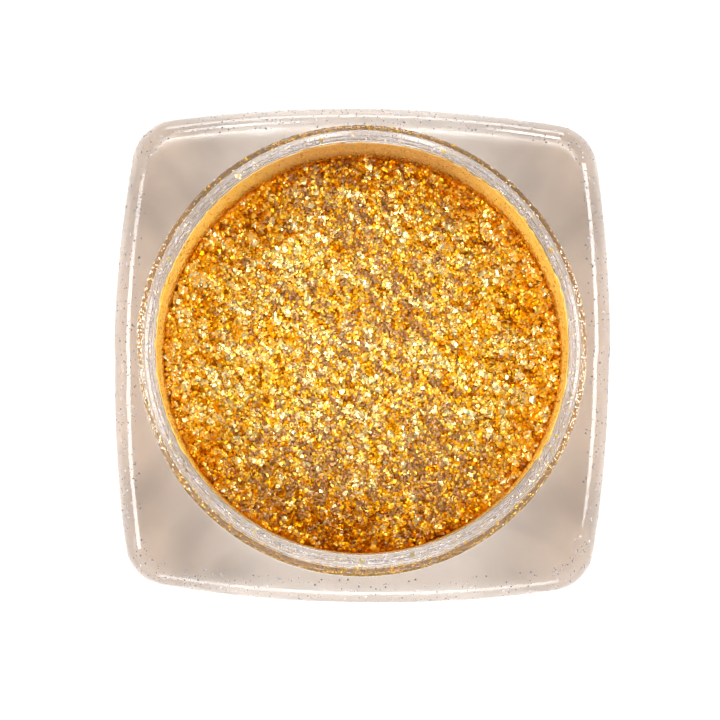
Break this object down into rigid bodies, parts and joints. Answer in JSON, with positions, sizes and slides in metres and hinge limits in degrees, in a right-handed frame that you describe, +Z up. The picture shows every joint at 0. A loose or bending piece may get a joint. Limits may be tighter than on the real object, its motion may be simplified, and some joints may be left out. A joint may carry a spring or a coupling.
{
  "type": "sample jar",
  "caption": "Open square jar in clear plastic with bulged sides, a round screw neck and a foot collar, filled with loose gold flake.",
  "frame": {"origin": "middle of the flat underside", "axes": "+Z up out of the mouth, X and Y square to the jar's sides"},
  "size_m": [0.032, 0.032, 0.0151],
  "materials": {
    "clear_plastic": "gloss",
    "gold_fill": "satin",
    "pale_gold": "polished",
    "orange_gold": "polished"
  },
  "bodies": {
    "root": {"jar_body": "clear_plastic", "gold_bed": "gold_fill", "pale_flakes": "pale_gold", "orange_flakes": "orange_gold", "rim_flakes": "pale_gold", "collar_flakes": "pale_gold"}
  },
  "joints": []
}
